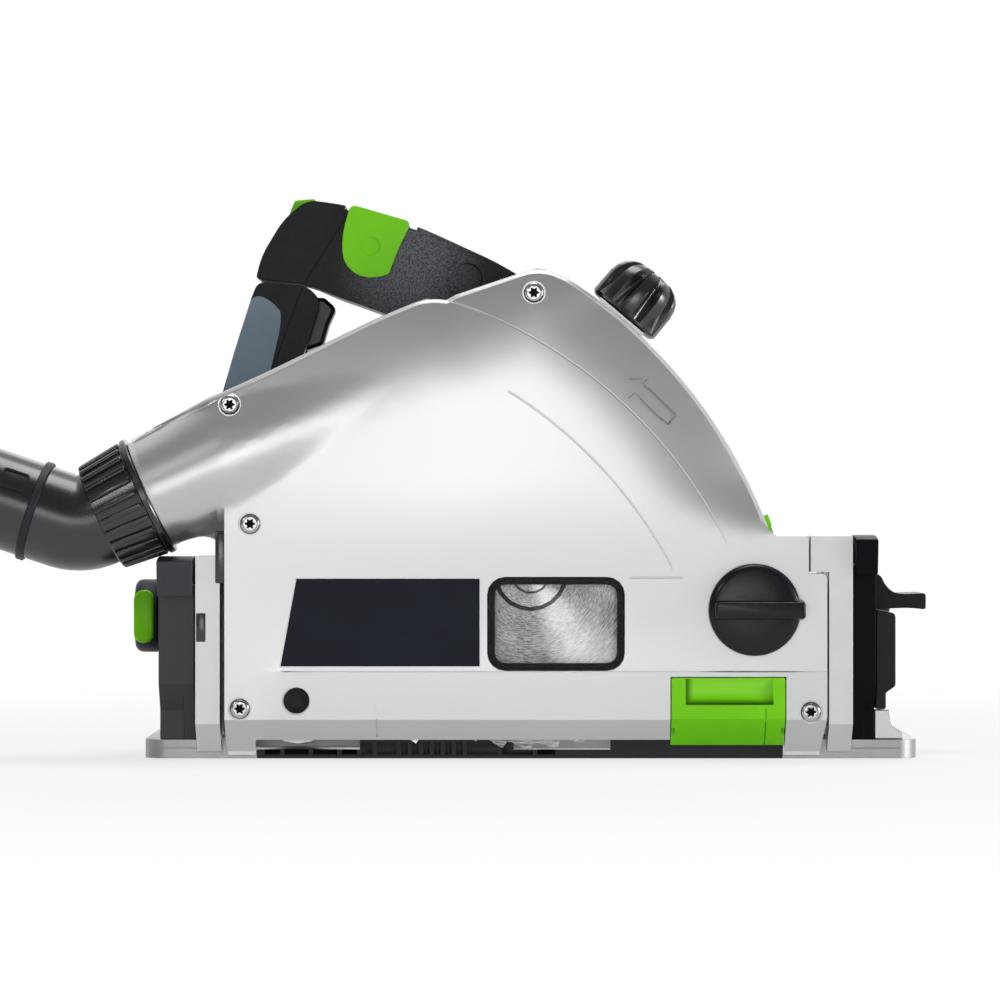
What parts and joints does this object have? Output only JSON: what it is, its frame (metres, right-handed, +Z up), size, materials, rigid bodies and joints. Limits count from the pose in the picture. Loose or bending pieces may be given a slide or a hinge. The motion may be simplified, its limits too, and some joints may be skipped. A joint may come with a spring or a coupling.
{
  "type": "track plunge saw",
  "caption": "Plunge-cut circular saw with enclosed blade, tilting housing on a ribbed sole for a guide rail, D-handle, side motor and swivelling dust outlet.",
  "frame": {"origin": "centre of the underside of the sole plate, on its flat face", "axes": "+X in the cutting direction, +Z up, -Y the side of the blade and its cover"},
  "size_m": [0.4395, 0.2122, 0.2583],
  "materials": {
    "cover_paint": "satin silver paint",
    "alloy": "cast, satin",
    "alloy_dark": "cast, darker",
    "dark_cast": "fine texture",
    "black_plastic": "satin",
    "dark_plastic": "matt",
    "soft_grip": "soft",
    "green_plastic": "satin",
    "clear_plastic": "clear",
    "label_black": "smooth",
    "label_silver": "satin",
    "steel": "turned",
    "copper": "wound copper"
  },
  "bodies": {
    "base": {"sole_plate": "alloy", "bevel_segment_rear": "dark_cast", "bevel_segment_front": "dark_cast", "front_bracket": "alloy", "tilt_stop_block": "black_plastic"},
    "jaw_rear": {"rail_jaw_rear": "black_plastic"},
    "jaw_front": {"rail_jaw_front": "black_plastic"},
    "tilt_frame": {"inner_housing": "alloy", "blade_cover": "cover_paint", "cover_screw_1": "steel", "cover_screw_2": "steel", "cover_screw_3": "steel", "cover_screw_4": "steel", "cover_screw_5": "steel", "window_pane": "clear_plastic", "label_plate": "label_black", "front_handle": "black_plastic", "depth_scale": "label_silver", "pivot_pin": "steel", "tilt_bolt_rear": "steel", "tilt_bolt_front": "steel", "guard_bolt": "steel"},
    "dust_outlet": {"dust_collar": "black_plastic", "dust_elbow": "black_plastic", "dust_clip_ring": "dark_plastic"},
    "guard": {"splinter_guard": "green_plastic"},
    "guard_knob": {"splinter_knob": "black_plastic"},
    "rear_clamp": {"bevel_knob_rear": "green_plastic"},
    "front_clamp": {"bevel_knob_front": "black_plastic"},
    "stop": {"depth_stop": "green_plastic"},
    "head": {"gear_case": "alloy_dark", "riving_knife": "steel", "bearing_plate": "alloy", "spindle_bearing_front": "steel", "spindle_bearing_rear": "steel", "rotor_bearing_front": "steel", "rotor_bearing_rear": "steel", "motor_housing": "black_plastic", "motor_end_cap": "dark_plastic", "power_inlet": "black_plastic", "stator": "steel", "power_switch": "dark_plastic", "handle_left": "black_plastic", "handle_right": "black_plastic", "grip_panel_left": "soft_grip", "grip_panel_right": "soft_grip"},
    "spindle": {"blade": "steel", "inner_flange": "steel", "outer_flange": "steel", "spindle_shaft": "steel", "blade_screw": "steel", "gear_wheel": "steel"},
    "rotor": {"pinion_shaft": "steel", "armature": "copper", "fan": "dark_plastic"},
    "trigger_body": {"trigger": "dark_plastic"},
    "button": {"plunge_button": "green_plastic"},
    "lever": {"change_lever": "green_plastic"},
    "dial": {"speed_dial": "green_plastic"}
  },
  "joints": [
    {"name": "tilt", "type": "hinge", "parent": "base", "child": "tilt_frame", "pos_m": [0, -0.09125, 0], "axis": [1, 0, 0], "range_deg": [-1, 47]},
    {"name": "plunge", "type": "hinge", "parent": "tilt_frame", "child": "head", "pos_m": [-0.10575, -0.08025, 0.027], "axis": [0, 1, 0], "range_deg": [0, 29.3], "stiffness_Nm_per_rad": 6, "springref_deg": -68.75},
    {"name": "dust_swivel", "type": "hinge", "parent": "tilt_frame", "child": "dust_outlet", "pos_m": [-0.1694, -0.08725, 0.1215], "axis": [-0.9063, 0, -0.4226], "continuous": true},
    {"name": "guard_slide", "type": "slide", "parent": "tilt_frame", "child": "guard", "axis": [0, 0, -1], "range_m": [0, 0.005]},
    {"name": "guard_knob_turn", "type": "hinge", "parent": "tilt_frame", "child": "guard_knob", "pos_m": [0.1004, -0.10825, 0.0681], "axis": [0, 1, 0], "range_deg": [0, 90]},
    {"name": "rear_clamp_turn", "type": "hinge", "parent": "tilt_frame", "child": "rear_clamp", "pos_m": [-0.1688, -0.03657, 0.0635], "axis": [1, 0, 0], "range_deg": [0, 90]},
    {"name": "front_clamp_turn", "type": "hinge", "parent": "tilt_frame", "child": "front_clamp", "pos_m": [0.1565, -0.02942, 0.07], "axis": [1, 0, 0], "range_deg": [0, 90]},
    {"name": "depth_stop_slide", "type": "hinge", "parent": "tilt_frame", "child": "stop", "pos_m": [-0.10575, -0.08025, 0.027], "axis": [0, -1, 0], "range_deg": [0, 22]},
    {"name": "spindle_spin", "type": "hinge", "parent": "head", "child": "spindle", "pos_m": [-0.00015, -0.09125, 0.084], "axis": [0, 1, 0], "continuous": true},
    {"name": "rotor_spin", "type": "hinge", "parent": "head", "child": "rotor", "pos_m": [-0.01436, -0.06925, 0.10334], "axis": [0, 1, 0], "continuous": true},
    {"name": "trigger_pull", "type": "slide", "parent": "head", "child": "trigger_body", "axis": [-0.953, 0, 0.303], "range_m": [0, 0.005], "stiffness_N_per_m": 500, "springref_m": -0.004},
    {"name": "button_press", "type": "slide", "parent": "head", "child": "button", "axis": [0, 0, -1], "range_m": [0, 0.003], "stiffness_N_per_m": 1200, "springref_m": -0.003},
    {"name": "lever_turn", "type": "hinge", "parent": "head", "child": "lever", "pos_m": [-0.099, -0.02925, 0.2493], "axis": [0, 1, 0], "range_deg": [0, 30]},
    {"name": "dial_turn", "type": "hinge", "parent": "head", "child": "dial", "pos_m": [-0.01436, 0.07575, 0.12534], "axis": [0, 1, 0], "range_deg": [-120, 120]},
    {"name": "jaw_rear_turn", "type": "hinge", "parent": "base", "child": "jaw_rear", "pos_m": [-0.095, 0.03075, 0.0085], "axis": [0, 0, 1], "range_deg": [0, 90]},
    {"name": "jaw_front_turn", "type": "hinge", "parent": "base", "child": "jaw_front", "pos_m": [0.095, 0.03075, 0.0085], "axis": [0, 0, 1], "range_deg": [0, 90]}
  ],
  "couplings": [
    {"joint": "rotor_spin", "follows": "spindle_spin", "ratio": -3.8}
  ]
}
